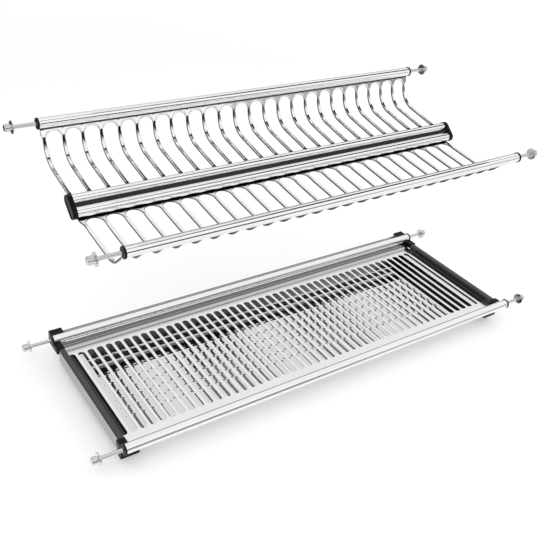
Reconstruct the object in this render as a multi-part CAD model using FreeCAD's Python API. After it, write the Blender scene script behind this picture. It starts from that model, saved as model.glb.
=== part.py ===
import FreeCAD, Part
import math
import os

# Cabinet dish rack in two tiers. +X runs along the tubes, -Y is the open front, +Z is up.
# The origin is the middle of the lower back tube's axis. All sizes are millimetres.

# Tubes
tube_diameter = 16.0
tube_wall = 0.8
lower_tube_length = 800.0
upper_tube_length = 750.0
lower_tube_spacing = 282.0

# Place of the upper tier's two tube axes
upper_back_y = 68.0
upper_back_z = 353.0
upper_tube_run = 302.5
upper_tube_drop = 59.0

# Hanging pins and the plastic bushes that they slide in
rod_diameter = 6.0
rod_reach = 51.0
flange_diameter = 20.0
flange_thickness = 1.5
flange_from_tip = 12.2
head_diameter = 12.0
head_length = 8.5
head_rounding = 2.0
neck_diameter = 8.0
collar_length = 8.0
pin_pull_out = 20.0
rod_clearance = 0.08
collar_clearance = 0.3
stop_clearance = 0.3
bush_diameter = 18.0
bush_flange = 2.5
bush_spigot = 20.0
spigot_clearance = 0.05

# Upper tier: arched strips and ribs
rib_count = 25
rib_end_margin = 3.6
rib_width = 6.0
rib_thickness = 4.0
strip_thickness = 1.2
strip_end_margin = 1.5
arch_top_from_axis = 13.9
back_lean_degrees = 8.8
back_rib_slope_degrees = 10.8
back_rib_corner = 57.4
back_rib_bend_radius = 42.0
front_rib_low_run = 256.0
front_rib_low_drop = 106.0
front_rib_bend_radius = 38.0
rail_strip_land = 7.0

# Centre rail, two round bulges side by side on a slope
bulge_diameter = 16.0
bulge_distance = 21.0
rail_web = 9.0
rail_wall = 1.2
rail_slope_degrees = 40.0
rail_end_inset = 1.0
upper_bulge_run = 121.0
upper_bulge_drop = 71.0
cap_thickness = 8.0
cap_overhang = 1.0
cap_rim_depth = 1.0
cap_rim_width = 1.6
cap_plug_depth = 10.0
cap_plug_clearance = 0.1

# Lower tier: side rails and their steel face strips
rail_width = 9.9
rail_top = -3.0
rail_bottom = -26.0
rail_rear_y = -25.0
rail_front_gap = 25.0
rail_chamfer = 1.5
face_strip_thickness = 0.8
face_strip_margin = 2.0
face_strip_corner = 8.0

# Slotted plate
plate_thickness = 1.0
plate_top = -14.0
plate_side_gap = 0.3
plate_ledge_width = 8.5
plate_ledge_thickness = 2.0
plate_wall_top = -4.5
plate_wall_gap = 0.5
plate_step_run = 7.0
plate_step_rise = 3.0
plate_bend_radius = 2.0
slot_count = 48
slot_width = 11.3
slot_side_margin = 1.0
slot_rear_gap = 33.0
slot_front_gap = 38.0

# Drip tray: a bent steel pan between two plastic ends with runners
tray_gauge = 0.8
tray_groove = 2.0
tray_ledge_thickness = 2.0
tray_side_clearance = 0.5
tray_foot_clearance = 2.5
tray_ledge_gap = 1.0
tray_floor_z = -46.0
tray_rim_z = -20.0
tray_rim_rear_y = -14.0
tray_rim_front_gap = 25.0
tray_floor_rear_y = -28.0
tray_floor_front_gap = 50.0
tray_bend_radius = 6.0
tray_rim_fold = 4.0
end_wall_thickness = 4.0
end_wall_border = 1.4
end_groove_depth = 2.5
runner_thickness = 1.2
runner_lift = 0.4

# Corner fittings and the splash strip behind the lower back tube
foot_length = 30.0
foot_depth = 10.0
foot_top = -20.0
foot_bottom = -35.0
clip_length = 22.0
clip_rear_y = 21.0
clip_top = 5.0
fitting_bottom = -12.5
fitting_top = -2.5
splash_y = 12.0
splash_thickness = 0.8
splash_top = 4.0
splash_bottom = -11.0
splash_insert = 6.0
fit_clearance = 0.1

tube_radius = tube_diameter / 2
bore_radius = tube_radius - tube_wall
rod_radius = rod_diameter / 2
upper_front_y = upper_back_y - upper_tube_run
upper_front_z = upper_back_z - upper_tube_drop
front_tube_y = -lower_tube_spacing
half_lower = lower_tube_length / 2
half_upper = upper_tube_length / 2
plate_bottom = plate_top - plate_thickness
rail_front_y = front_tube_y + rail_front_gap
rail_outer_x = half_lower - face_strip_thickness
rail_inner_x = rail_outer_x - rail_width
ledge_bottom = plate_bottom - plate_ledge_thickness
tray_ledge_top = ledge_bottom - tray_groove
runner_bottom = tray_ledge_top + runner_lift
runner_top = runner_bottom + runner_thickness
end_outer_x = half_lower - foot_length - tray_foot_clearance
end_inner_x = end_outer_x - end_wall_thickness
pan_half_width = end_inner_x + end_groove_depth - fit_clearance
tray_rim_front_y = front_tube_y + tray_rim_front_gap
tray_floor_front_y = front_tube_y + tray_floor_front_gap
plate_half_width = rail_inner_x - plate_side_gap
slot_pitch = (2 * plate_half_width - 2 * slot_side_margin - slot_width) / (slot_count - 1)
rib_pitch = (upper_tube_length - 2 * rib_end_margin - rib_width) / (rib_count - 1)
half_rail = half_upper - rail_end_inset

X_AXIS = FreeCAD.Vector(1, 0, 0)
Y_AXIS = FreeCAD.Vector(0, 1, 0)


def save(shape, name):
    """Write one sub-part to its own STEP file."""
    shape.exportStep("parts/" + name + ".step")


def at(x, y, z):
    return FreeCAD.Vector(x, y, z)


def box(x0, x1, y0, y1, z0, z1):
    """Block between two corners, given in any order along X."""
    low, high = min(x0, x1), max(x0, x1)
    return Part.makeBox(high - low, y1 - y0, z1 - z0, at(low, y0, z0))


def cylinder_x(radius, x0, x1, y, z):
    """Cylinder along X between two places."""
    low, high = min(x0, x1), max(x0, x1)
    return Part.makeCylinder(radius, high - low, at(low, y, z), X_AXIS)


def mirror_x(shape):
    return shape.mirror(at(0, 0, 0), X_AXIS)


def on_side(shape, side):
    """Shape modelled for the right side (+1), mirrored for the left (-1)."""
    return shape if side > 0 else mirror_x(shape)


def unit(a, b):
    length = math.hypot(b[0] - a[0], b[1] - a[1])
    return ((b[0] - a[0]) / length, (b[1] - a[1]) / length)


def offset_points(points, distance):
    """Points of an open (y, z) line moved sideways, with mitred corners."""
    moved = []
    last = len(points) - 1
    for i, point in enumerate(points):
        before = unit(points[max(i - 1, 0)], points[max(i, 1)])
        after = unit(points[min(i, last - 1)], points[min(i + 1, last)])
        normal = (-before[1] - after[1], before[0] + after[0])
        size = math.hypot(*normal)
        cosine = size / 2
        reach = distance / cosine / size
        moved.append((point[0] + normal[0] * reach, point[1] + normal[1] * reach))
    return moved


def turn(a, b, c):
    """Signed turn of the line a, b, c in radians, positive to the left."""
    first, second = unit(a, b), unit(b, c)
    cross = first[0] * second[1] - first[1] * second[0]
    dot = first[0] * second[0] + first[1] * second[1]
    return math.atan2(cross, dot)


def rounded_edges(points, radii, x):
    """Edges of an open (y, z) line with an arc of the given radius at each inner corner."""
    edges = []
    start = points[0]
    for i in range(1, len(points) - 1):
        before = unit(points[i - 1], points[i])
        after = unit(points[i], points[i + 1])
        angle = turn(points[i - 1], points[i], points[i + 1])
        radius = radii[i - 1]
        tangent = radius * math.tan(abs(angle) / 2)
        enter = (points[i][0] - before[0] * tangent, points[i][1] - before[1] * tangent)
        leave = (points[i][0] + after[0] * tangent, points[i][1] + after[1] * tangent)
        side = 1 if angle > 0 else -1
        centre = (enter[0] - before[1] * radius * side, enter[1] + before[0] * radius * side)
        out = unit(centre, points[i])
        middle = (centre[0] + out[0] * radius, centre[1] + out[1] * radius)
        edges.append(Part.LineSegment(at(x, *start), at(x, *enter)).toShape())
        edges.append(Part.Arc(at(x, *enter), at(x, *middle), at(x, *leave)).toShape())
        start = leave
    edges.append(Part.LineSegment(at(x, *start), at(x, *points[-1])).toShape())
    return edges


def bent_sheet(points, radii, thickness, x0, x1):
    """Sheet of one thickness whose middle follows an open (y, z) line, extruded along X.

    The radii are those of the middle line's inner corners, in their order.
    """
    half = thickness / 2
    left = offset_points(points, half)
    right = offset_points(points, -half)
    left_radii = []
    right_radii = []
    for i in range(1, len(points) - 1):
        side = 1 if turn(points[i - 1], points[i], points[i + 1]) > 0 else -1
        left_radii.append(radii[i - 1] - half * side)
        right_radii.append(radii[i - 1] + half * side)
    edges = rounded_edges(left, left_radii, x0) + rounded_edges(right, right_radii, x0)
    edges.append(Part.LineSegment(at(x0, *left[0]), at(x0, *right[0])).toShape())
    edges.append(Part.LineSegment(at(x0, *left[-1]), at(x0, *right[-1])).toShape())
    wire = Part.Wire(Part.__sortEdges__(edges))
    return Part.Face(wire).extrude(at(x1 - x0, 0, 0))


def tube(length, y, z):
    """Round steel tube along X with open ends."""
    half = length / 2
    outer = cylinder_x(tube_radius, -half, half, y, z)
    return outer.cut(cylinder_x(bore_radius, -half, half, y, z))


def hanging_pin(tube_half, y, z, side):
    """Rod with a button head and a washer flange, and a collar that keeps it in the tube."""
    tip = rod_reach
    flange_out = tip - flange_from_tip + flange_thickness
    flange_in = tip - flange_from_tip
    head_in = tip - head_length
    collar_out = -bush_spigot - pin_pull_out - stop_clearance
    collar_in = collar_out - collar_length
    collar_radius = bore_radius - collar_clearance
    head_radius = head_diameter / 2
    outline = [
        (collar_in, 0),
        (collar_in, collar_radius),
        (collar_out, collar_radius),
        (collar_out, rod_radius),
        (flange_in, rod_radius),
        (flange_in, flange_diameter / 2),
        (flange_out, flange_diameter / 2),
        (flange_out, neck_diameter / 2),
        (head_in, neck_diameter / 2),
        (head_in, head_radius),
        (tip - head_rounding, head_radius),
    ]
    points = [at(x, r, 0) for x, r in outline]
    edges = [Part.LineSegment(a, b).toShape() for a, b in zip(points, points[1:])]
    slope = head_rounding * (1 - math.sqrt(0.5))
    rim = at(tip - slope, head_radius - slope, 0)
    edges.append(Part.Arc(points[-1], rim, at(tip, head_radius - head_rounding, 0)).toShape())
    edges.append(Part.LineSegment(at(tip, head_radius - head_rounding, 0), at(tip, 0, 0)).toShape())
    edges.append(Part.LineSegment(at(tip, 0, 0), points[0]).toShape())
    pin = Part.Face(Part.Wire(edges)).revolve(at(0, 0, 0), X_AXIS, 360)
    pin.translate(at(tube_half, y, z))
    return on_side(pin, side)


def spigot(tube_half, y, z):
    """Plug inside the tube's right end, still without its bore."""
    radius = bore_radius - spigot_clearance
    return cylinder_x(radius, tube_half - bush_spigot, tube_half + bush_flange, y, z)


def rod_bore(tube_half, y, z):
    radius = rod_radius + rod_clearance
    return cylinder_x(radius, tube_half - bush_spigot, tube_half + bush_flange, y, z)


def end_disc(tube_half, y, z):
    """Disc that covers the tube's right end, with a softened rim."""
    disc = cylinder_x(bush_diameter / 2, tube_half, tube_half + bush_flange, y, z)
    rims = [edge for edge in disc.Edges if edge.BoundBox.XMin > tube_half + bush_flange / 2
            and edge.BoundBox.XLength < bush_flange / 2]
    return disc.makeFillet(bush_flange / 4, rims)


def bush(y, z, side):
    """Plastic end bush of an upper tube."""
    body = end_disc(half_upper, y, z).fuse(spigot(half_upper, y, z))
    return on_side(body.cut(rod_bore(half_upper, y, z)), side)


def rib_places(count, pitch):
    middle = (count - 1) / 2
    return [(i - middle) * pitch for i in range(count)]


def swept_rib(points, radius):
    """One rib: a rod of rounded section that follows a (y, z) line with one bend."""
    path = Part.Wire(rounded_edges(points, [radius], 0))
    half_width = rib_width / 2
    half_depth = rib_thickness / 2
    flat = half_width - half_depth
    start = points[0]
    along = unit(points[0], points[1])
    across = (-along[1], along[0])

    def corner(x, depth):
        return at(x, start[0] + across[0] * depth, start[1] + across[1] * depth)

    section = Part.Wire([
        Part.LineSegment(corner(-flat, half_depth), corner(flat, half_depth)).toShape(),
        Part.Arc(corner(flat, half_depth), corner(half_width, 0), corner(flat, -half_depth)).toShape(),
        Part.LineSegment(corner(flat, -half_depth), corner(-flat, -half_depth)).toShape(),
        Part.Arc(corner(-flat, -half_depth), corner(-half_width, 0),
                 corner(-flat, half_depth)).toShape(),
    ])
    return path.makePipeShell([section], True, False)


def rib_set(rib):
    """Copies of one rib at every rib place, as separate solids."""
    copies = []
    for x in rib_places(rib_count, rib_pitch):
        copy = rib.copy()
        copy.translate(at(x, 0, 0))
        copies.append(copy)
    return Part.makeCompound(copies)


def arched_strip(origin, along, strip_start, arch_top):
    """Flat strip that starts at strip_start along a (y, z) direction and ends in the ribs' roots.

    Between each two ribs it is cut out in a round arch, and past the end ribs in a half arch.
    """
    arch_radius = (rib_pitch - rib_width) / 2
    strip_end = strip_end_distance(arch_top)
    half = half_upper - strip_end_margin
    plate = Part.makeBox(2 * half, strip_thickness, strip_end - strip_start,
                         at(-half, -strip_thickness / 2, strip_start))
    end_width = half - (rib_count - 1) / 2 * rib_pitch - rib_width / 2
    gaps = rib_places(rib_count - 1, rib_pitch)
    cutters = [arch_cutter(arch_radius, x, strip_end) for x in gaps]
    cutters += [arch_cutter(end_width, x, strip_end) for x in (-half, half)]
    plate = plate.cut(cutters)
    # The strip is modelled standing on +Z and then turned to its own direction.
    angle = math.degrees(math.atan2(-along[0], along[1]))
    plate.rotate(at(0, 0, 0), X_AXIS, angle)
    plate.translate(at(0, origin[0], origin[1]))
    return plate


def arch_cutter(radius, x, z):
    """Cylinder through the strip, as long on each side of it as the strip is thick."""
    start = at(x, -1.5 * strip_thickness, z)
    return Part.makeCylinder(radius, 3 * strip_thickness, start, Y_AXIS)


def strip_end_distance(arch_top):
    return arch_top + (rib_pitch - rib_width) / 2


lean = math.radians(back_lean_degrees)
back_down = (-math.sin(lean), -math.cos(lean))
slope = math.radians(back_rib_slope_degrees)
back_forward = (-math.cos(slope), -math.sin(slope))
back_axis = (upper_back_y, upper_back_z)
front_axis = (upper_front_y, upper_front_z)
upper_bulge = (upper_back_y - upper_bulge_run, upper_back_z - upper_bulge_drop)
rail_slope = math.radians(rail_slope_degrees)
rail_down = (-math.cos(rail_slope), -math.sin(rail_slope))
lower_bulge = (upper_bulge[0] + rail_down[0] * bulge_distance,
               upper_bulge[1] + rail_down[1] * bulge_distance)
front_low = (upper_back_y - front_rib_low_run, upper_back_z - front_rib_low_drop)


def step_from(point, direction, distance):
    return (point[0] + direction[0] * distance, point[1] + direction[1] * distance)


def figure_eight(bulge_radius, web, x0, x1):
    """Two round bulges joined by a web, extruded along X."""
    first = cylinder_x(bulge_radius, x0, x1, *upper_bulge)
    second = cylinder_x(bulge_radius, x0, x1, *lower_bulge)
    middle = Part.makeBox(x1 - x0, bulge_distance, web, at(x0, 0, -web / 2))
    middle.rotate(at(x0, 0, 0), X_AXIS, 180 + rail_slope_degrees)
    middle.translate(at(0, *upper_bulge))
    return first.fuse([second, middle]).removeSplitter()


def stadium(radius, x0, x1):
    """Straight-sided oval around both bulges."""
    return figure_eight(radius, 2 * radius, x0, x1)


def centre_rail():
    outer = figure_eight(bulge_diameter / 2, rail_web, -half_rail, half_rail)
    inner = figure_eight(bulge_diameter / 2 - rail_wall, rail_web - 2 * rail_wall,
                         -half_rail, half_rail)
    return outer.cut(inner)


def rail_cap(side):
    """Plastic cap on the centre rail's end, with a raised rim and a plug inside the rail."""
    face = half_rail + cap_thickness
    radius = bulge_diameter / 2 + cap_overhang
    cap = stadium(radius, half_rail, face)
    cap = cap.cut(stadium(radius - cap_rim_width, face - cap_rim_depth, face))
    inset = rail_wall + cap_plug_clearance
    plug = figure_eight(bulge_diameter / 2 - inset, rail_web - 2 * inset,
                        half_rail - cap_plug_depth, half_rail)
    return on_side(cap.fuse(plug), side)


def back_ribs(rail_body):
    """Ribs that come down from the back tube and turn forward to the centre rail."""
    start = step_from(back_axis, back_down, strip_end_distance(arch_top_from_axis))
    corner = step_from(back_axis, back_down, back_rib_corner)
    end = step_from(corner, back_forward, (corner[0] - upper_bulge[0]) / math.cos(slope))
    rib = swept_rib([start, corner, end], back_rib_bend_radius)
    return rib_set(rib.cut(rail_body))


def back_strip():
    strip = arched_strip(back_axis, back_down, 0, arch_top_from_axis)
    return strip.cut(cylinder_x(tube_radius, -half_upper, half_upper, *back_axis))


def front_strip_line():
    """Start and direction of the strip that leaves the centre rail's underside."""
    touch = bulge_diameter / 2 + strip_thickness / 2
    run = unit(lower_bulge, front_low)
    reach = math.hypot(front_low[0] - lower_bulge[0], front_low[1] - lower_bulge[1])
    tilt = math.asin(touch / reach)
    along = (run[0] * math.cos(tilt) + run[1] * math.sin(tilt),
             run[1] * math.cos(tilt) - run[0] * math.sin(tilt))
    start = (front_low[0] - along[0] * reach * math.cos(tilt),
             front_low[1] - along[1] * reach * math.cos(tilt))
    return start, along


def front_rail_strip(rail_body):
    start, along = front_strip_line()
    strip = arched_strip(start, along, -rail_web / 2, rail_strip_land)
    return strip.cut(rail_body)


def front_ribs():
    """Ribs that run from the centre rail to a low bend and up under the front tube."""
    start, along = front_strip_line()
    first = step_from(start, along, strip_end_distance(rail_strip_land))
    up = unit(front_axis, front_low)
    last = step_from(front_axis, up, strip_end_distance(arch_top_from_axis))
    return rib_set(swept_rib([first, front_low, last], front_rib_bend_radius))


def front_tube_strip():
    down = unit(front_axis, front_low)
    strip = arched_strip(front_axis, down, 0, arch_top_from_axis)
    return strip.cut(cylinder_x(tube_radius, -half_upper, half_upper, *front_axis))


def side_rail(side):
    """Plastic side rail: a wall, a ledge for the plate and a ledge for the tray's flange."""
    profile = [
        (rail_outer_x, rail_bottom),
        (rail_outer_x, rail_top - rail_chamfer),
        (rail_outer_x - rail_chamfer, rail_top),
        (rail_inner_x + rail_chamfer, rail_top),
        (rail_inner_x, rail_top - rail_chamfer),
        (rail_inner_x, plate_bottom),
        (rail_inner_x - plate_ledge_width, plate_bottom),
        (rail_inner_x - plate_ledge_width, ledge_bottom),
        (rail_inner_x, ledge_bottom),
        (rail_inner_x, tray_ledge_top),
        (end_outer_x + tray_ledge_gap, tray_ledge_top),
        (end_outer_x + tray_ledge_gap, tray_ledge_top - tray_ledge_thickness),
        (rail_inner_x, tray_ledge_top - tray_ledge_thickness),
        (rail_inner_x, rail_bottom),
    ]
    points = [at(x, rail_front_y, z) for x, z in profile]
    wire = Part.makePolygon(points + points[:1])
    rail = Part.Face(wire).extrude(at(0, rail_rear_y - rail_front_y, 0))
    return on_side(rail, side)


def face_strip(side):
    """Steel strip on the side rail's outer face, rounded at its lower rear corner."""
    y0 = rail_front_y + face_strip_margin
    y1 = rail_rear_y - face_strip_margin
    strip = box(rail_outer_x, half_lower, y0, y1, rail_bottom, rail_top - rail_chamfer)
    corners = [edge for edge in strip.Edges
               if edge.BoundBox.YMin > y1 - face_strip_corner
               and edge.BoundBox.ZMax < rail_bottom + face_strip_corner]
    return on_side(strip.makeFillet(face_strip_corner, corners), side)


def slotted_plate():
    """Pressed plate with turned-up front and rear walls and rows of drain slots."""
    middle = plate_top - plate_thickness / 2
    rear = -tube_radius - plate_wall_gap - plate_thickness / 2
    front = front_tube_y - rear
    line = [
        (rear, plate_wall_top),
        (rear, middle + plate_step_rise),
        (rear - plate_step_run, middle + plate_step_rise),
        (rear - plate_step_run - plate_step_rise, middle),
        (front + plate_step_run + plate_step_rise, middle),
        (front + plate_step_run, middle + plate_step_rise),
        (front, middle + plate_step_rise),
        (front, plate_wall_top),
    ]
    radii = [plate_bend_radius] * (len(line) - 2)
    plate = bent_sheet(line, radii, plate_thickness, -plate_half_width, plate_half_width)
    cutters = []
    for x in rib_places(slot_count, slot_pitch):
        cutters.append(drain_slot(x))
    return plate.cut(cutters)


def drain_slot(x):
    """Round-ended slot cutter."""
    radius = slot_width / 2
    z0 = plate_bottom - plate_thickness
    height = 3 * plate_thickness
    rear = -slot_rear_gap - radius
    front = front_tube_y + slot_front_gap + radius
    body = box(x - radius, x + radius, front, rear, z0, z0 + height)
    ends = [Part.makeCylinder(radius, height, at(x, y, z0)) for y in (front, rear)]
    return body.fuse(ends).removeSplitter()


def tray_line():
    """Middle line of the pan in (y, z): rear rim fold, rear wall, floor, front wall, rim fold."""
    middle_floor = tray_floor_z + tray_gauge / 2
    middle_rim = tray_rim_z - tray_gauge / 2
    return [
        (tray_rim_rear_y + tray_rim_fold, middle_rim),
        (tray_rim_rear_y, middle_rim),
        (tray_floor_rear_y, middle_floor),
        (tray_floor_front_y, middle_floor),
        (tray_rim_front_y, middle_rim),
        (tray_rim_front_y - tray_rim_fold, middle_rim),
    ]


def tray_sheet(thickness, x0, x1):
    """Sheet along the pan's middle line, with tight bends at the rims and wide ones at the floor."""
    rim_radius = tray_gauge
    radii = [rim_radius, tray_bend_radius, tray_bend_radius, rim_radius]
    return bent_sheet(tray_line(), radii, thickness, x0, x1)


def tray_pan():
    return tray_sheet(tray_gauge, -pan_half_width, pan_half_width)


def tray_end(side):
    """Plastic end of the drip tray: a wall with a groove for the pan, and a runner."""
    low = tray_floor_z - fit_clearance - end_wall_border
    rear, rim, floor_rear, floor_front, front_rim, front = tray_line()
    border = tray_gauge / 2 + fit_clearance + end_wall_border
    outline = [
        (rear[0] + end_wall_border, runner_top),
        (rear[0] + end_wall_border, rear[1] - border),
        (rim[0] + border, rim[1] - border),
        (floor_rear[0] + border, low),
        (floor_front[0] - border, low),
        (front_rim[0] - border, rim[1] - border),
        (front[0] - end_wall_border, rim[1] - border),
        (front[0] - end_wall_border, runner_top),
    ]
    points = [at(end_inner_x, y, z) for y, z in outline]
    wall = Part.Face(Part.makePolygon(points + points[:1])).extrude(at(end_wall_thickness, 0, 0))
    runner = box(end_inner_x, rail_inner_x - tray_side_clearance, front[0] - end_wall_border,
                 rear[0] + end_wall_border, runner_bottom, runner_top)
    groove = tray_sheet(tray_gauge + 2 * fit_clearance, 0, end_inner_x + end_groove_depth)
    return on_side(wall.fuse(runner).cut(groove).removeSplitter(), side)


def front_fitting(side):
    """Plastic corner fitting on the front tube's end, with a foot under the tube."""
    y = front_tube_y
    body = end_disc(half_lower, y, 0).fuse(spigot(half_lower, y, 0))
    block = box(rail_inner_x, half_lower, y, rail_front_y, fitting_bottom, fitting_top)
    post = box(rail_inner_x, half_lower, rail_front_y - foot_depth, rail_front_y,
               foot_bottom, fitting_top)
    foot = box(half_lower - foot_length, half_lower, rail_front_y - foot_depth, rail_front_y,
               foot_bottom, foot_top)
    cheek = box(half_lower, half_lower + bush_flange, y, rail_front_y, fitting_bottom, fitting_top)
    around = block.fuse([post, foot]).cut(cylinder_x(tube_radius, 0, half_lower, y, 0))
    body = body.fuse([around, cheek]).cut(rod_bore(half_lower, y, 0))
    return on_side(body.removeSplitter(), side)


def rear_fitting(side, splash):
    """Plastic corner fitting on the back tube's end, with a clip behind the tube."""
    body = end_disc(half_lower, 0, 0).fuse(spigot(half_lower, 0, 0))
    inner = half_lower - clip_length
    block = box(rail_inner_x, half_lower, rail_rear_y, 0, fitting_bottom, fitting_top)
    below = box(inner, half_lower, 0, clip_rear_y, fitting_bottom, 0)
    clip = box(inner, half_lower, tube_radius / 2, clip_rear_y, 0, clip_top)
    cheek = box(half_lower, half_lower + bush_flange, rail_rear_y, clip_rear_y / 2,
                fitting_bottom, fitting_top)
    around = block.fuse([below, clip]).cut(cylinder_x(tube_radius, 0, half_lower, 0, 0))
    body = body.fuse([around, cheek]).cut(rod_bore(half_lower, 0, 0))
    return on_side(body.removeSplitter(), side).cut(splash)


def splash_strip(half, clearance):
    """Upright strip behind the back tube, with its ends in the rear fittings."""
    return box(-half, half, splash_y - clearance, splash_y + splash_thickness + clearance,
               splash_bottom - clearance, splash_top + clearance)


def build():
    os.makedirs("parts", exist_ok=True)
    save(tube(lower_tube_length, 0, 0), "lower_back_tube")
    save(tube(lower_tube_length, front_tube_y, 0), "lower_front_tube")
    save(tube(upper_tube_length, *back_axis), "upper_back_tube")
    save(tube(upper_tube_length, *front_axis), "upper_front_tube")

    rail = centre_rail()
    rail_body = figure_eight(bulge_diameter / 2, rail_web, -half_upper, half_upper)
    save(rail, "centre_rail")
    save(back_strip(), "upper_back_strip")
    save(back_ribs(rail_body), "upper_back_ribs")
    save(front_rail_strip(rail_body), "centre_rail_strip")
    save(front_ribs(), "upper_front_ribs")
    save(front_tube_strip(), "upper_front_strip")

    save(slotted_plate(), "slotted_plate")
    save(tray_pan(), "drip_tray_pan")
    splash_half = half_lower - clip_length + splash_insert
    save(splash_strip(splash_half, 0), "rear_splash_strip")
    socket = splash_strip(splash_half + fit_clearance, fit_clearance)

    for side, word in ((-1, "left"), (1, "right")):
        save(side_rail(side), word + "_side_rail")
        save(tray_end(side), "drip_tray_" + word + "_end")
        save(face_strip(side), word + "_face_strip")
        save(rail_cap(side), word + "_rail_cap")
        save(front_fitting(side), "lower_front_" + word + "_fitting")
        save(rear_fitting(side, socket), "lower_back_" + word + "_fitting")
        save(bush(*back_axis, side), "upper_back_" + word + "_bush")
        save(bush(*front_axis, side), "upper_front_" + word + "_bush")
        save(hanging_pin(half_lower, 0, 0, side), "lower_back_" + word + "_pin")
        save(hanging_pin(half_lower, front_tube_y, 0, side), "lower_front_" + word + "_pin")
        save(hanging_pin(half_upper, *back_axis, side), "upper_back_" + word + "_pin")
        save(hanging_pin(half_upper, *front_axis, side), "upper_front_" + word + "_pin")


build()
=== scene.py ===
import bpy
import bmesh
import math
from mathutils import Matrix, Vector

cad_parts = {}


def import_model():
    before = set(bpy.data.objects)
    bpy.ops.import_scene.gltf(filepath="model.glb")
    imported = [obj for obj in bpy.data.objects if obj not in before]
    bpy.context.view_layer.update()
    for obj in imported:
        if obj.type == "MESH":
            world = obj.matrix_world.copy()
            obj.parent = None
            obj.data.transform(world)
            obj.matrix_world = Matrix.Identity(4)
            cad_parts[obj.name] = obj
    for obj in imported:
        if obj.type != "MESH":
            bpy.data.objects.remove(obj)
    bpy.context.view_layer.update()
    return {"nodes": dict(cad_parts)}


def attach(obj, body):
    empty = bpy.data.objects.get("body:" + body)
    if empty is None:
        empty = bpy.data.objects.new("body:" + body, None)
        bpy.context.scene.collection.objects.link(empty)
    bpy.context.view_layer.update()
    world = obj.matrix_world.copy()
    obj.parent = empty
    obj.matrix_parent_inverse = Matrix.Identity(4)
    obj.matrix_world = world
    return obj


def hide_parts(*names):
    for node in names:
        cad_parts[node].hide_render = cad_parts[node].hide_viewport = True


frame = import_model()

MM = 0.001

# Camera, from the tube ends and pin tips in the photograph's frame of 540 by 540, and widened by 2%
# so that every pin's head stays in it
CAMERA_PLACE = (-724.1 * MM, -1008.4 * MM, 812.0 * MM)
CAMERA_AZIMUTH = math.radians(36.97)
CAMERA_ELEVATION = math.radians(32.2)
CAMERA_ROLL = math.radians(6.0)
CAMERA_LENS = 51.2
CAMERA_SENSOR = 36.0

# Lines along X in the upper tier, as (y, z) in mm: the tubes' axes, the centre rail's two bulges, and
# the ends and corners of the two pressed grids
UPPER_BACK = (68.0, 353.0)
UPPER_FRONT = (-234.5, 294.0)
UPPER_BULGE = (-53.0, 282.0)
LOWER_BULGE = (-69.09, 268.5)
BACK_CORNER = (59.22, 296.28)
BACK_END = (-49.3, 275.58)
RAIL_STRIP_START = (-63.69, 260.43)
FRONT_LOW = (-188.0, 247.0)


# Node helpers

RGBA_A, RGBA_B, RGBA_RESULT = 6, 7, 2
NOISE_LOW, NOISE_HIGH = 0.3, 0.7
EVEN = (1, 1, 1)


def new_material(name):
    mat = bpy.data.materials.new(name)
    mat.use_nodes = True
    tree = mat.node_tree
    return mat, tree, tree.nodes["Principled BSDF"]


def node(tree, kind, **settings):
    n = tree.nodes.new(kind)
    for key, value in settings.items():
        setattr(n, key, value)
    return n


def link(tree, a, b):
    tree.links.new(a, b)


def coordinates(tree, kind="Object"):
    return node(tree, "ShaderNodeTexCoord").outputs[kind]


def component(tree, axis, kind="Object"):
    """X, Y or Z of the object coordinates, or of the normal."""
    parts = node(tree, "ShaderNodeSeparateXYZ")
    link(tree, coordinates(tree, kind), parts.inputs[0])
    return parts.outputs[axis]


def stretched_noise(tree, scale, stretch, detail=3.0):
    """Noise on object coordinates, stretched along chosen axes."""
    mapping = node(tree, "ShaderNodeMapping")
    mapping.inputs["Scale"].default_value = stretch
    noise = node(tree, "ShaderNodeTexNoise")
    noise.inputs["Scale"].default_value = scale
    noise.inputs["Detail"].default_value = detail
    link(tree, coordinates(tree), mapping.inputs["Vector"])
    link(tree, mapping.outputs["Vector"], noise.inputs["Vector"])
    return noise.outputs["Fac"]


def ramp(tree, value, low, high, out_low, out_high):
    n = node(tree, "ShaderNodeMapRange")
    n.inputs["From Min"].default_value = low
    n.inputs["From Max"].default_value = high
    n.inputs["To Min"].default_value = out_low
    n.inputs["To Max"].default_value = out_high
    link(tree, value, n.inputs["Value"])
    return n.outputs["Result"]


def tint(tree, value, dark, light):
    n = node(tree, "ShaderNodeMix", data_type="RGBA")
    link(tree, value, n.inputs["Factor"])
    n.inputs[RGBA_A].default_value = (*dark, 1)
    n.inputs[RGBA_B].default_value = (*light, 1)
    return n.outputs[RGBA_RESULT]


def multiplied(tree, colour, share):
    n = node(tree, "ShaderNodeMix", data_type="RGBA", blend_type="MULTIPLY")
    n.inputs["Factor"].default_value = 1.0
    link(tree, colour, n.inputs[RGBA_A])
    link(tree, share, n.inputs[RGBA_B])
    return n.outputs[RGBA_RESULT]


def bump(tree, height, strength, distance, shader):
    n = node(tree, "ShaderNodeBump")
    n.inputs["Strength"].default_value = strength
    n.inputs["Distance"].default_value = distance
    link(tree, height, n.inputs["Height"])
    link(tree, n.outputs["Normal"], shader.inputs["Normal"])


def vector_length(tree, vector):
    size = node(tree, "ShaderNodeVectorMath", operation="LENGTH")
    link(tree, vector, size.inputs[0])
    return size.outputs["Value"]


def axis_distance(tree, line):
    """Distance from a line along X, given as (y, z) in mm."""
    shift = node(tree, "ShaderNodeVectorMath", operation="SUBTRACT")
    shift.inputs[1].default_value = (0, line[0] * MM, line[1] * MM)
    flat = node(tree, "ShaderNodeVectorMath", operation="MULTIPLY")
    flat.inputs[1].default_value = (0, 1, 1)
    link(tree, coordinates(tree), shift.inputs[0])
    link(tree, shift.outputs["Vector"], flat.inputs[0])
    return vector_length(tree, flat.outputs["Vector"])


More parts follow.
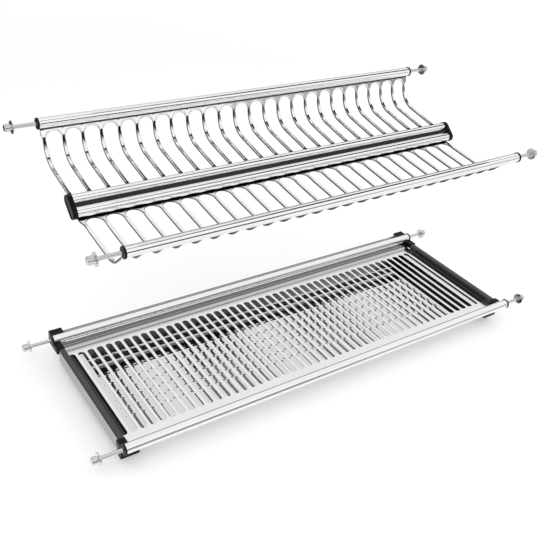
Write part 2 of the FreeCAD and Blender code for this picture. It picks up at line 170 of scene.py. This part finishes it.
def facing(tree, axis):
    """How far the surface faces along an axis, either way: 0 to 1."""
    dot = node(tree, "ShaderNodeVectorMath", operation="DOT_PRODUCT")
    dot.inputs[1].default_value = axis
    size = node(tree, "ShaderNodeMath", operation="ABSOLUTE")
    link(tree, coordinates(tree, "Normal"), dot.inputs[0])
    link(tree, dot.outputs["Value"], size.inputs[0])
    return size.outputs[0]


def pair_of(tree, operation, a, b):
    n = node(tree, "ShaderNodeMath", operation=operation)
    link(tree, a, n.inputs[0])
    link(tree, b, n.inputs[1])
    return n.outputs[0]


# Painted shade by place, with one roughness change: each takes and gives a colour and a roughness; places are
# in mm

# Slotted plate's painted shade: the rear band's Y range and level, and the underside's range of normal Z and
# level
REAR_BAND = (-32.0, -9.0)
REAR_BAND_SHADE = 0.42
UNDERSIDE = (-0.7, -0.2)
UNDERSIDE_SHADE = 0.4

# Drip pan's rear wall: its Y range, the level of its painted shade, and its satin roughness
PAN_WALL = (-30.0, -20.0)
PAN_WALL_SHADE = 0.42
PAN_WALL_ROUGHNESS = 0.22

# Side rails' painted shade: the groove's Z range and its level
RAIL_GROOVE = (-13.0, -5.0)
RAIL_GROOVE_SHADE = 0.06

# Pressed grids: each painted shade spot's middle, full radius, outer radius and level (painted shade where the
# ribs meet the centre rail and the back tube, painted dark reflections at the back bends), and each arched
# strip's line, reach from it and normal
BACK_SHADE_SPOTS = (
    (UPPER_BULGE, 21.5, 25.5, 0.02),
    (UPPER_BACK, 10.2, 11.2, 0.10),
    ((62.8, 319.5), 3.0, 8.5, 0.42),
    ((51.0, 296.0), 4.0, 10.0, 0.70),
)
BACK_STRIP = (UPPER_BACK, 27.0, (0.0, -0.988, 0.153))
FRONT_SHADE_SPOTS = ((LOWER_BULGE, 11.0, 14.0, 0.05),)
FRONT_STRIP = (RAIL_STRIP_START, 25.0, (0.0, -0.107, 0.994))
STRIP_FADE = 3.0
# Painted shade on the ribs' sides and the arches' edges: its level, and the ranges of facing over which it
# comes in
EDGE_SHADE_LEVEL = 0.10
RIB_SIDE = (0.45, 0.85)
STRIP_FLAT = (0.70, 0.98)


def level_between(tree, value, places, start_level, end_level):
    return ramp(tree, value, places[0] * MM, places[1] * MM, start_level, end_level)


def plate_painted_shade(tree, colour, roughness):
    """Painted shade: a darker band along the slotted plate's rear wall, and a darker underside where the faces
    point down.
    """
    # painted shade darkening the colour towards the rear wall and on the faces that point down
    rear_shade = level_between(tree, component(tree, "Y"), REAR_BAND, 1.0, REAR_BAND_SHADE)
    underside_shade = ramp(tree, component(tree, "Z", "Normal"), *UNDERSIDE, UNDERSIDE_SHADE, 1.0)
    return multiplied(tree, multiplied(tree, colour, rear_shade), underside_shade), roughness


def pan_painted_shade(tree, colour, roughness):
    """Painted shade darkening the colour up the drip pan's rear wall, where the steel also turns satin."""
    place = component(tree, "Y")
    satin = level_between(tree, place, PAN_WALL, 0.0, PAN_WALL_ROUGHNESS)
    # painted shade: the colour darkens up the rear wall
    wall_shade = level_between(tree, place, PAN_WALL, 1.0, PAN_WALL_SHADE)
    return multiplied(tree, colour, wall_shade), pair_of(tree, "MAXIMUM", roughness, satin)


def rail_painted_shade(tree, colour, roughness):
    """Painted shade in the unlit groove below the side rails' open top."""
    # painted shade: the colour darkens downwards into the groove
    groove = level_between(tree, component(tree, "Z"), RAIL_GROOVE, RAIL_GROOVE_SHADE, 1.0)
    return multiplied(tree, colour, groove), roughness


def grid_painted_shade(shade_spots, strip):
    """Painted shade where the ribs meet the rail and tube, painted dark reflections at the bends, and painted
    shade on the edges round the arches and along the ribs.
    """
    strip_line, reach, strip_normal = strip

    def shades(tree, colour, roughness):
        # painted shade spots, each darkening the colour near a line along X
        for line, near, far, level in shade_spots:
            spot_shade = level_between(tree, axis_distance(tree, line), (near, far), level, 1.0)
            colour = multiplied(tree, colour, spot_shade)
        # painted shade on faces turned along X and on the arches' edges, away from the strips' flat faces
        side = ramp(tree, facing(tree, (1, 0, 0)), *RIB_SIDE, 1.0, EDGE_SHADE_LEVEL)
        flat = ramp(tree, facing(tree, strip_normal), *STRIP_FLAT, EDGE_SHADE_LEVEL, 1.0)
        outside = level_between(tree, axis_distance(tree, strip_line), (reach - STRIP_FADE, reach), 0.0, 1.0)
        edges = pair_of(tree, "MINIMUM", side, pair_of(tree, "MAXIMUM", flat, outside))
        return multiplied(tree, colour, edges), roughness

    return shades


# Materials

CLOUD_SCALE = 9.0
LINE_DETAIL = 4.0
LINE_DEPTH = 0.1 * MM
PLASTIC_CLOUD_SCALE = 25.0
GRAIN_DETAIL = 2.0
GRAIN_DEPTH = 0.2 * MM
GRAIN_BUMP = 0.15
ALONG_X = (0.02, 1, 1)
ALONG_Y = (1, 0.02, 1)
ROUND_X = (1, 0.05, 0.05)


def metal(name, dark, light, roughness, stretch, grain, bump_strength=0.0, shades=None):
    """Steel with fine polishing lines, and painted shade and roughness by place."""
    mat, tree, shader = new_material(name)
    shader.inputs["Metallic"].default_value = 1.0
    lines = stretched_noise(tree, grain, stretch, LINE_DETAIL)
    colour = tint(tree, stretched_noise(tree, CLOUD_SCALE, EVEN), dark, light)
    rough = ramp(tree, lines, NOISE_LOW, NOISE_HIGH, *roughness)
    if shades:
        colour, rough = shades(tree, colour, rough)
    link(tree, colour, shader.inputs["Base Color"])
    link(tree, rough, shader.inputs["Roughness"])
    if bump_strength:
        bump(tree, lines, bump_strength, LINE_DEPTH, shader)
    return mat


def plastic(name, dark, light, roughness, grain_scale, shine, shades=None):
    """Moulded plastic with a fine grain, and painted shade and roughness by place."""
    mat, tree, shader = new_material(name)
    shader.inputs["Specular IOR Level"].default_value = shine
    grain = stretched_noise(tree, grain_scale, EVEN, GRAIN_DETAIL)
    colour = tint(tree, stretched_noise(tree, PLASTIC_CLOUD_SCALE, EVEN), dark, light)
    rough = ramp(tree, grain, NOISE_LOW, NOISE_HIGH, *roughness)
    if shades:
        colour, rough = shades(tree, colour, rough)
    link(tree, colour, shader.inputs["Base Color"])
    link(tree, rough, shader.inputs["Roughness"])
    bump(tree, grain, GRAIN_BUMP, GRAIN_DEPTH, shader)
    return mat


RIB_TINTS = ((0.86, 0.86, 0.87), (0.92, 0.92, 0.925))
TRAY_TINTS = ((0.70, 0.70, 0.71), (0.77, 0.77, 0.78))

tube_steel = metal("mirror_steel_tube", (0.90, 0.90, 0.91), (0.95, 0.95, 0.955), (0.03, 0.06), ALONG_X, 900.0)
back_rib_steel = metal("mirror_steel_back_ribs", *RIB_TINTS, (0.03, 0.07), EVEN, 400.0,
                       shades=grid_painted_shade(BACK_SHADE_SPOTS, BACK_STRIP))
front_rib_steel = metal("mirror_steel_front_ribs", *RIB_TINTS, (0.03, 0.07), EVEN, 400.0,
                        shades=grid_painted_shade(FRONT_SHADE_SPOTS, FRONT_STRIP))
plate_steel = metal("satin_steel_plate", (0.84, 0.84, 0.85), (0.90, 0.90, 0.905), (0.12, 0.16), ALONG_Y, 1500.0,
                    shades=plate_painted_shade)
splash_steel = metal("mirror_steel_tray", *TRAY_TINTS, (0.03, 0.05), ALONG_X, 700.0)
pan_steel = metal("mirror_steel_pan", *TRAY_TINTS, (0.03, 0.05), ALONG_X, 700.0, shades=pan_painted_shade)
face_steel = metal("satin_steel_strip", (0.40, 0.40, 0.41), (0.50, 0.50, 0.51), (0.30, 0.42), ALONG_Y, 1500.0,
                   bump_strength=0.05)
pin_steel = metal("turned_steel_pin", (0.60, 0.60, 0.61), (0.70, 0.70, 0.71), (0.10, 0.18), ROUND_X, 2500.0,
                  bump_strength=0.03)
rail_plastic = plastic("rail_plastic", (0.034, 0.034, 0.035), (0.044, 0.044, 0.046), (0.30, 0.40), 2200.0, 0.5,
                       shades=rail_painted_shade)
black_plastic = plastic("black_plastic", (0.002,) * 3, (0.004,) * 3, (0.30, 0.42), 2600.0, 0.15)

# CAD nodes' materials, by the longest of these endings that a node's name has
MATERIALS = {
    "tube": tube_steel, "rail": tube_steel, "side_rail": rail_plastic, "ribs": back_rib_steel,
    "strip": plate_steel, "face_strip": face_steel, "splash_strip": splash_steel, "pin": pin_steel,
    "cap": black_plastic, "bush": black_plastic, "fitting": black_plastic, "plate": plate_steel,
    "pan": pan_steel, "end": black_plastic,
}


def node_materials():
    for name, obj in frame["nodes"].items():
        mat = MATERIALS[max((ending for ending in MATERIALS if name.endswith(ending)), key=len)]
        if not obj.material_slots:
            obj.data.materials.append(mat)
        for slot in obj.material_slots:
            slot.material = mat


# Lines across X, as (y, z) in mm

def mix(a, b, share):
    return a + (b - a) * share


def smooth_step(value, low, high):
    t = min(max((value - low) / (high - low), 0.0), 1.0)
    return t * t * (3 - 2 * t)


def unit(a, b):
    size = math.hypot(b[0] - a[0], b[1] - a[1])
    return (b[0] - a[0]) / size, (b[1] - a[1]) / size


def shifted(point, direction, distance):
    return point[0] + direction[0] * distance, point[1] + direction[1] * distance


def left_of(direction):
    return -direction[1], direction[0]


class Bend:
    """Rounded corner of a line."""

    def __init__(self, before, corner, after, radius):
        self.first, self.second = unit(before, corner), unit(corner, after)
        self.angle = math.atan2(self.first[0] * self.second[1] - self.first[1] * self.second[0],
                                self.first[0] * self.second[0] + self.first[1] * self.second[1])
        self.side = math.copysign(1, self.angle)
        self.radius = radius
        self.length = radius * abs(self.angle)
        tangent = radius * math.tan(abs(self.angle) / 2)
        self.enter = shifted(corner, self.first, -tangent)
        self.leave = shifted(corner, self.second, tangent)
        self.centre = shifted(self.enter, left_of(self.first), radius * self.side)

    def at(self, turned):
        """Place and direction after a turn from the bend's start."""
        c, s = math.cos(turned), math.sin(turned)
        along = (self.first[0] * c - self.first[1] * s, self.first[0] * s + self.first[1] * c)
        return shifted(self.centre, left_of(along), -self.radius * self.side), along


def bent_line(start, corner, end, radius):
    """Length of a line with one rounded corner, and a function from a distance to place and direction."""
    bend = Bend(start, corner, end, radius)
    straight = math.dist(start, bend.enter)

    def place(s):
        if s <= straight:
            return shifted(start, bend.first, s), bend.first
        if s >= straight + bend.length:
            return shifted(bend.leave, bend.second, s - straight - bend.length), bend.second
        return bend.at((s - straight) / radius * bend.side)

    return straight + bend.length + math.dist(bend.leave, end), place


BEND_DEGREES = 5


def rounded_line(points, radii, step):
    """Points along an open line with rounded corners, no further apart than the step."""
    corners = [points[0]]
    for before, corner, after, radius in zip(points, points[1:], points[2:], radii):
        bend = Bend(before, corner, after, radius)
        turns = max(int(math.degrees(abs(bend.angle)) / BEND_DEGREES), 2)
        corners += [bend.at(bend.angle * k / turns)[0] for k in range(turns + 1)]
    corners.append(points[-1])
    line = [corners[0]]
    for a, b in zip(corners, corners[1:]):
        parts = max(math.ceil(math.dist(a, b) / step), 1)
        line += [(mix(a[0], b[0], k / parts), mix(a[1], b[1], k / parts)) for k in range(1, parts + 1)]
    return line


# Mesh helpers

def add_object(name, mesh, mat):
    mesh.materials.append(mat)
    obj = bpy.data.objects.new(name, mesh)
    bpy.context.scene.collection.objects.link(obj)
    return obj


def mesh_object(name, vertices, faces, mat):
    mesh = bpy.data.meshes.new(name)
    mesh.from_pydata(vertices, [], faces)
    return add_object(name, mesh, mat)


def smooth_sharp(obj, degrees):
    """Smooth shading with edges above an angle kept sharp, and all faces turned outward."""
    mesh = bmesh.new()
    mesh.from_mesh(obj.data)
    bmesh.ops.recalc_face_normals(mesh, faces=mesh.faces)
    for face in mesh.faces:
        face.smooth = True
    for edge in mesh.edges:
        edge.smooth = len(edge.link_faces) == 2 and edge.calc_face_angle(0) < math.radians(degrees)
    mesh.to_mesh(obj.data)
    mesh.free()


# Upper tier's pressed grids

BACK_BEND = 42.0
FRONT_BEND = 38.0
RIB_COUNT = 25
RIB_PITCH = 30.7
GRID_HALF = 373.5
TUBE_START = 7.6
ARCH_TOP = 13.9
RAIL_ARCH_TOP = 11.5
ARCH_RADIUS = 12.9
GAP_HALF = 12.35
STRIP_HALF_DEPTH = 0.6
RIB_HALF_DEPTH = 2.0
STRIP_EDGE = 1.2
RIB_EDGE = 1.4
STRIP_LIP = 1.2
ARCH_STEPS = 10
EDGE_STEPS = 4
INNER_STEPS = 3
RIB_STEP = 4.0
MERGE = 0.02 * MM
# Changes from strip to rib: distances before and after an arch's centre line
GAP_FADE = (0.0, 22.0)
SECTION_FADE = (5.0, 7.0)
END_FADE = (9.0, 2.0)


class PressedGrid:
    """Sheet with arched strips and round-edged ribs: u runs along the tubes, s down the bent line."""

    def __init__(self, line, start, arch_top, second_arch_top=None):
        self.length, self.place = line
        self.start = start
        self.first = arch_top + ARCH_RADIUS
        self.has_second = second_arch_top is not None
        self.end = self.length - TUBE_START if self.has_second else self.length
        self.second = self.length - second_arch_top - ARCH_RADIUS if self.has_second else self.length
        self.mesh = bmesh.new()

    def rib_share(self, s, before, after):
        """0 in the strips, 1 in the ribs, with a soft change round each arch's centre line."""
        share = smooth_step(s, self.first - before, self.first + after)
        if self.has_second:
            share *= smooth_step(self.second - s, -before, after)
        return share

    def half_gap(self, s):
        return mix(ARCH_RADIUS, GAP_HALF, self.rib_share(s, *GAP_FADE))

    def outline(self):
        """Right half of a gap's outline, with the normal into the sheet and the sheet's depth behind it."""
        half = RIB_PITCH / 2
        points = self.arch(self.first, self.start, 1)
        straight = self.second - self.first
        steps = max(int(straight / RIB_STEP), 1)
        for i in range(1, steps):
            s = self.first + straight * i / steps
            gap = self.half_gap(s)
            points.append((gap, s, 1.0, 0.0, half - gap))
        if self.has_second:
            points += reversed(self.arch(self.second, self.end, -1))
        else:
            points.append((GAP_HALF, self.end, 1.0, 0.0, half - GAP_HALF))
        return points

    @staticmethod
    def arch(centre, edge, side):
        """Quarter of an arch, from its top to its side; side is 1 where the strip lies before the centre."""
        half = RIB_PITCH / 2
        reach = abs(centre - edge)
        corner = math.atan2(reach, half)
        angles = [math.pi / 2 * (1 - i / ARCH_STEPS) for i in range(ARCH_STEPS + 1)]
        points = []
        for angle in sorted(angles + [corner], reverse=True):
            c, n = math.cos(angle), math.sin(angle)
            to_middle = half / c if angle <= corner else reach / n
            points.append((ARCH_RADIUS * c, centre - side * ARCH_RADIUS * n, c, -side * n,
                           to_middle - ARCH_RADIUS))
        return points

    def section(self, s, depth):
        """Distances into the sheet and heights of one cross-section, from the front to the back."""
        share = self.rib_share(s, *SECTION_FADE)
        half_depth = mix(STRIP_HALF_DEPTH, RIB_HALF_DEPTH, share)
        edge = mix(STRIP_EDGE, RIB_EDGE, share)
        lip = mix(STRIP_LIP, 0.0, share)

        def back_height(d):
            return -half_depth - lip * (1 - smooth_step(d, edge * 0.5, edge * 1.5))

        inner = [mix(edge, depth, i / INNER_STEPS) for i in range(INNER_STEPS, 0, -1)]
        turns = [math.pi / 2 * i / EDGE_STEPS for i in range(EDGE_STEPS + 1)]
        rounding = [(edge * (1 - math.sin(t)), edge * (1 - math.cos(t))) for t in turns]
        front = [(d, half_depth) for d in inner] + [(d, half_depth - drop) for d, drop in rounding]
        back = [(d, back_height(d) + drop) for d, drop in reversed(rounding)]
        return front + back + [(d, back_height(d)) for d in reversed(inner)]

    def spoke(self, x, point, side):
        """Vertices of one cross-section of the sheet beside a gap."""
        u, s, nu, ns, depth = point
        ring = []
        for d, height in self.section(s, depth):
            place, along = self.place(s + ns * d)
            y, z = shifted(place, left_of(along), -height)
            ring.append(self.mesh.verts.new([v * MM for v in (x + side * (u + nu * d), y, z)]))
        return ring

    def skin(self, rings):
        for a, b in zip(rings, rings[1:]):
            for i in range(len(a) - 1):
                self.mesh.faces.new((a[i], b[i], b[i + 1], a[i + 1]))

    def gaps(self, outline):
        """The sheet round each gap, to the middles of the ribs beside it."""
        middle = (RIB_COUNT - 2) / 2
        for i in range(RIB_COUNT - 1):
            x = (i - middle) * RIB_PITCH
            left = [self.spoke(x, point, -1) for point in reversed(outline)]
            right = [self.spoke(x, point, 1) for point in outline[1:]]
            self.skin(left + right)

    def ends(self, outline):
        """The outer halves of the last ribs, and the strips' ends beside them."""
        last_rib = (RIB_COUNT - 1) / 2 * RIB_PITCH
        for side in (-1, 1):
            rings = []
            for u, s, nu, ns, depth in outline:
                if u + nu * depth < RIB_PITCH / 2 - 0.001:
                    continue
                at_middle = s + ns * depth
                edge = mix(GRID_HALF, last_rib + RIB_PITCH / 2 - self.half_gap(s),
                           self.rib_share(at_middle, *END_FADE))
                rings.append(self.spoke(0, (edge, at_middle, -1.0, 0.0, edge - last_rib), side))
            self.skin(rings)

    def build(self, name, mat):
        outline = self.outline()
        self.gaps(outline)
        self.ends(outline)
        bmesh.ops.remove_doubles(self.mesh, verts=self.mesh.verts, dist=MERGE)
        bmesh.ops.dissolve_degenerate(self.mesh, edges=self.mesh.edges, dist=MERGE / 2)
        bmesh.ops.holes_fill(self.mesh, edges=[e for e in self.mesh.edges if e.is_boundary], sides=0)
        bmesh.ops.recalc_face_normals(self.mesh, faces=self.mesh.faces)
        for face in self.mesh.faces:
            face.smooth = True
        mesh = bpy.data.meshes.new(name)
        self.mesh.to_mesh(mesh)
        self.mesh.free()
        return add_object(name, mesh, mat)


def upper_grids():
    back = PressedGrid(bent_line(UPPER_BACK, BACK_CORNER, BACK_END, BACK_BEND), TUBE_START, ARCH_TOP)
    front = PressedGrid(bent_line(RAIL_STRIP_START, FRONT_LOW, UPPER_FRONT, FRONT_BEND), 0.0,
                        RAIL_ARCH_TOP, ARCH_TOP)
    pieces = (
        (back.build("upper_back_grid", back_rib_steel), ("upper_back_strip", "upper_back_ribs")),
        (front.build("upper_front_grid", front_rib_steel),
         ("centre_rail_strip", "upper_front_ribs", "upper_front_strip")),
    )
    for piece, nodes in pieces:
        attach(piece, "rack")
        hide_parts(*nodes)


# Drip tray's pan, with shallow beads across its floor, and the trims on its runners

TRAY_LINE = ((-10.0, -20.4), (-14.0, -20.4), (-28.0, -45.6), (-232.0, -45.6), (-257.0, -20.4), (-261.0, -20.4))
TRAY_RADII = (0.8, 6.0, 6.0, 0.8)
TRAY_GAUGE = 0.8
PAN_HALF = 365.9
PAN_STEP = 1.0
PAN_SHARP = 30
BEAD_FIRST_Y = -52.0
BEAD_LAST_Y = -192.0
BEAD_PITCH = 21.0
BEAD_WIDTH = 8.0
BEAD_HEIGHT = 0.28
TRIM_X = (363.6, 375.0)
TRIM_Y = (-260.5, -10.5)
TRIM_Z = (-17.4, -17.1)
BOX_FACES = ((0, 1, 3, 2), (4, 6, 7, 5), (0, 4, 5, 1), (2, 3, 7, 6), (0, 2, 6, 4), (1, 5, 7, 3))


def bead(y):
    """Height of the beads over the pan's floor."""
    if not BEAD_LAST_Y <= y <= BEAD_FIRST_Y:
        return 0.0
    off = (BEAD_FIRST_Y - y) % BEAD_PITCH
    off = min(off, BEAD_PITCH - off)
    if off > BEAD_WIDTH / 2:
        return 0.0
    return BEAD_HEIGHT * (1 + math.cos(2 * math.pi * off / BEAD_WIDTH)) / 2


def tray_pan():
    line = [(y, z + bead(y)) for y, z in rounded_line(TRAY_LINE, TRAY_RADII, PAN_STEP)]
    upper, lower = [], []
    for i, point in enumerate(line):
        across = left_of(unit(line[max(i - 1, 0)], line[min(i + 1, len(line) - 1)]))
        upper.append(shifted(point, across, -TRAY_GAUGE / 2))
        lower.append(shifted(point, across, TRAY_GAUGE / 2))
    loop = upper + lower[::-1]
    count = len(loop)
    vertices = [(x * MM, y * MM, z * MM) for x in (-PAN_HALF, PAN_HALF) for y, z in loop]
    faces = [(i, (i + 1) % count, count + (i + 1) % count, count + i) for i in range(count)]
    for start in (0, count):
        faces += [(start + i, start + i + 1, start + count - 2 - i, start + count - 1 - i)
                  for i in range(len(line) - 1)]
    for side in (-1, 1):
        first = len(vertices)
        vertices += [(side * x * MM, y * MM, z * MM) for x in TRIM_X for y in TRIM_Y for z in TRIM_Z]
        faces += [tuple(first + k for k in face) for face in BOX_FACES]
    piece = mesh_object("drip_tray_beaded_pan", vertices, faces, pan_steel)
    smooth_sharp(piece, PAN_SHARP)
    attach(piece, "drip_tray")
    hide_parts("drip_tray_pan")


# Moulded pieces with their edges rounded over

FLAT_DEGREES = 1
BEVEL_DEGREES = 35
ROUNDED_SHARP = 40


def rounded_piece(name, body, mat, width):
    mesh = bmesh.new()
    mesh.from_mesh(frame["nodes"][name].data)
    bmesh.ops.remove_doubles(mesh, verts=mesh.verts, dist=MERGE / 2)
    bmesh.ops.dissolve_limit(mesh, angle_limit=math.radians(FLAT_DEGREES), verts=mesh.verts, edges=mesh.edges)
    sharp = [e for e in mesh.edges if len(e.link_faces) == 2
             and e.calc_face_angle(0) > math.radians(BEVEL_DEGREES)]
    bmesh.ops.bevel(mesh, geom=sharp, offset=width * MM, segments=2, profile=0.7, affect="EDGES",
                    clamp_overlap=True)
    data = bpy.data.meshes.new(name + "_rounded")
    mesh.to_mesh(data)
    mesh.free()
    piece = add_object(name + "_rounded", data, mat)
    smooth_sharp(piece, ROUNDED_SHARP)
    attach(piece, body)
    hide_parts(name)


def rounded_pieces():
    for side in ("left", "right"):
        rounded_piece(side + "_rail_cap", "rack", black_plastic, 1.2)
        rounded_piece(side + "_side_rail", "rack", rail_plastic, 0.5)
        rounded_piece("drip_tray_" + side + "_end", "drip_tray", black_plastic, 0.3)
        for place in ("back", "front"):
            rounded_piece("lower_%s_%s_fitting" % (place, side), "rack", black_plastic, 0.6)


# Stage, in metres: floor and world

FLOOR_Z = -47.6 * MM
FLOOR_SIZE = 14.0
FLOOR_GLOW = 0.30
FAR_FLOOR = (1.6, 3.4)
FAR_FLOOR_GLOW = 0.43
WORLD_FILL = 0.75


def seen_white(tree):
    """1 for camera, glossy and transmission rays, 0 for the rest."""
    rays = node(tree, "ShaderNodeLightPath").outputs
    seen = pair_of(tree, "MAXIMUM", rays["Is Camera Ray"], rays["Is Glossy Ray"])
    return pair_of(tree, "MAXIMUM", seen, rays["Is Transmission Ray"])


def matte_material(name, roughness=1.0):
    mat, tree, shader = new_material(name)
    shader.inputs["Roughness"].default_value = roughness
    shader.inputs["Specular IOR Level"].default_value = 0.0
    return mat, tree, shader


def level_rectangle(name, x0, x1, y0, y1, z, mat):
    corners = [(x0, y0, z), (x1, y0, z), (x1, y1, z), (x0, y1, z)]
    return mesh_object(name, corners, [(0, 1, 2, 3)], mat)


def floor():
    """Pale floor that keeps the shadow and fades into the white background."""
    mat, tree, shader = matte_material("pale_floor", 0.9)
    cloud = stretched_noise(tree, 3.0, EVEN)
    link(tree, tint(tree, cloud, (0.80,) * 3, (0.82,) * 3), shader.inputs["Base Color"])
    shader.inputs["Emission Color"].default_value = (1, 1, 1, 1)
    glow = ramp(tree, vector_length(tree, coordinates(tree)), *FAR_FLOOR, FLOOR_GLOW, FAR_FLOOR_GLOW)
    link(tree, pair_of(tree, "MULTIPLY", glow, seen_white(tree)), shader.inputs["Emission Strength"])
    half = FLOOR_SIZE / 2
    level_rectangle("floor", -half, half, -half, half, FLOOR_Z, mat)


def world():
    studio = bpy.data.worlds.new("studio")
    bpy.context.scene.world = studio
    studio.use_nodes = True
    tree = studio.node_tree
    back = tree.nodes["Background"]
    back.inputs["Color"].default_value = (1, 1, 1, 1)
    link(tree, ramp(tree, seen_white(tree), 0, 1, WORLD_FILL, 1.0), back.inputs["Strength"])


# Cards of the studio, in metres: they only show in the metal's reflections, and give it its dark lines

CARD_CLOUD_SCALE = 2.0
RING_SIDES = 36
ON_FLOOR = FLOOR_Z + 1 * MM
OVER_FLOOR_CARDS = FLOOR_Z + 2 * MM
OVERHEAD = 2.2


def only_reflected(obj):
    obj.visible_camera = False
    obj.visible_diffuse = False
    obj.visible_shadow = False
    obj.visible_transmission = False
    obj.visible_volume_scatter = False


def grey_material(name, levels, span):
    """Grey that goes from one level to another along X over a span."""
    mat, tree, shader = matte_material(name)
    cloud = stretched_noise(tree, CARD_CLOUD_SCALE, EVEN)
    level = ramp(tree, component(tree, "X"), *span, *levels)
    link(tree, multiplied(tree, tint(tree, cloud, (0.9,) * 3, (1.0,) * 3), level), shader.inputs["Base Color"])
    return mat


def card(name, corners, levels, span):
    only_reflected(mesh_object(name, corners, [(0, 1, 2, 3)], grey_material(name, levels, span)))


def card_strip(name, x0, x1, y0, y1, z, levels, span):
    only_reflected(level_rectangle(name, x0, x1, y0, y1, z, grey_material(name, levels, span)))


def card_ring(name, radius, low, high, levels, start, end, span):
    """Upright curved card from one compass angle to another, in degrees from +X."""
    vertices, faces = [], []
    for i in range(RING_SIDES + 1):
        angle = math.radians(start + (end - start) * i / RING_SIDES)
        x, y = radius * math.cos(angle), radius * math.sin(angle)
        vertices += [(x, y, low), (x, y, high)]
        if i:
            faces.append((2 * i - 2, 2 * i, 2 * i + 1, 2 * i - 1))
    only_reflected(mesh_object(name, vertices, faces, grey_material(name, levels, span)))


def white_card(name, x0, x1, y0, y1, z):
    """Level glowing panel, which hides one tier from the other's reflections."""
    mat, tree, shader = matte_material(name)
    shader.inputs["Base Color"].default_value = (0, 0, 0, 1)
    cloud = stretched_noise(tree, CARD_CLOUD_SCALE, EVEN)
    link(tree, tint(tree, cloud, (0.91,) * 3, (0.96,) * 3), shader.inputs["Emission Color"])
    shader.inputs["Emission Strength"].default_value = 1.0
    only_reflected(level_rectangle(name, x0, x1, y0, y1, z, mat))


def cards():
    card_ring("front_card", 3.2, 0.20, 1.2, (0.01, 0.85), 190, 325, (1.45, 2.05))
    corners = [(x, y, OVER_FLOOR_CARDS) for x, y in ((0.9, -3.1), (1.8, -3.1), (0.9, -1.9), (0.2, -1.9))]
    card("front_left_floor_card", corners, (0.02, 0.3), (0.0, 1.8))
    card_ring("front_right_card", 3.3, ON_FLOOR, 0.46, (0.8, 0.2), 300, 335, (1.65, 2.9))
    card_ring("back_card", 3.6, ON_FLOOR, 0.75, (0.07, 0.07), 15, 165, (0, 1))
    card_ring("back_high_card", 3.6, 0.75, 1.85, (0.4, 0.4), 15, 165, (0, 1))
    card_strip("overhead_card", 0.4, 2.4, -0.549, 0.12, OVERHEAD, (0.85, 0.02), (0.6, 1.2))
    card_strip("groove_card", -2.5, 4.5, -0.90, -0.55, OVERHEAD, (0.04, 0.06), (-2.5, 4.5))
    card_strip("back_floor_card", -1.3, 0.9, 0.30, 1.4, ON_FLOOR, (0.06, 0.06), (-1.3, 0.9))
    card_strip("front_floor_card", -0.9, 1.5, -0.80, -0.42, ON_FLOOR, (0.02, 0.55), (-0.9, 1.5))
    card("rib_card", [(0, 2, 2.6), (4, 2, 2.6), (4, 2, 2.95), (0, 2, 2.95)], (0.03, 0.03), (0, 1))
    white_card("between_card", -0.5, 1.0, -0.42, 0.35, 0.20)


# Lamps and camera

RACK_MIDDLE = (0, -0.1, 0.1)


def lamp(name, place, size, power):
    """Soft lamp that points at the rack's middle and doesn't show in its reflections."""
    data = bpy.data.lights.new(name, "AREA")
    data.shape = "RECTANGLE"
    data.size, data.size_y = size
    data.energy = power
    obj = bpy.data.objects.new(name, data)
    bpy.context.scene.collection.objects.link(obj)
    obj.location = place
    direction = Vector(RACK_MIDDLE) - Vector(place)
    obj.rotation_euler = direction.to_track_quat("-Z", "Y").to_euler()
    obj.visible_glossy = False


def camera():
    data = bpy.data.cameras.new("camera")
    data.sensor_width = CAMERA_SENSOR
    data.lens = CAMERA_LENS
    obj = bpy.data.objects.new("camera", data)
    bpy.context.scene.collection.objects.link(obj)
    cos_el = math.cos(CAMERA_ELEVATION)
    forward = Vector((math.sin(CAMERA_AZIMUTH) * cos_el, math.cos(CAMERA_AZIMUTH) * cos_el,
                      -math.sin(CAMERA_ELEVATION)))
    level = forward.cross(Vector((0, 0, 1))).normalized()
    upright = level.cross(forward)
    cos_r, sin_r = math.cos(CAMERA_ROLL), math.sin(CAMERA_ROLL)
    right = level * cos_r + upright * sin_r
    up = upright * cos_r - level * sin_r
    turn = Matrix((right, up, -forward)).transposed()
    obj.matrix_world = Matrix.Translation(CAMERA_PLACE) @ turn.to_4x4()
    bpy.context.scene.camera = obj


node_materials()
upper_grids()
tray_pan()
rounded_pieces()
floor()
world()
cards()
lamp("key", (-1.0, -1.6, 2.2), (1.6, 1.2), 18.0)
lamp("fill", (1.6, -0.6, 2.0), (1.2, 1.2), 8.0)
camera()
bpy.context.scene.view_settings.view_transform = "Standard"
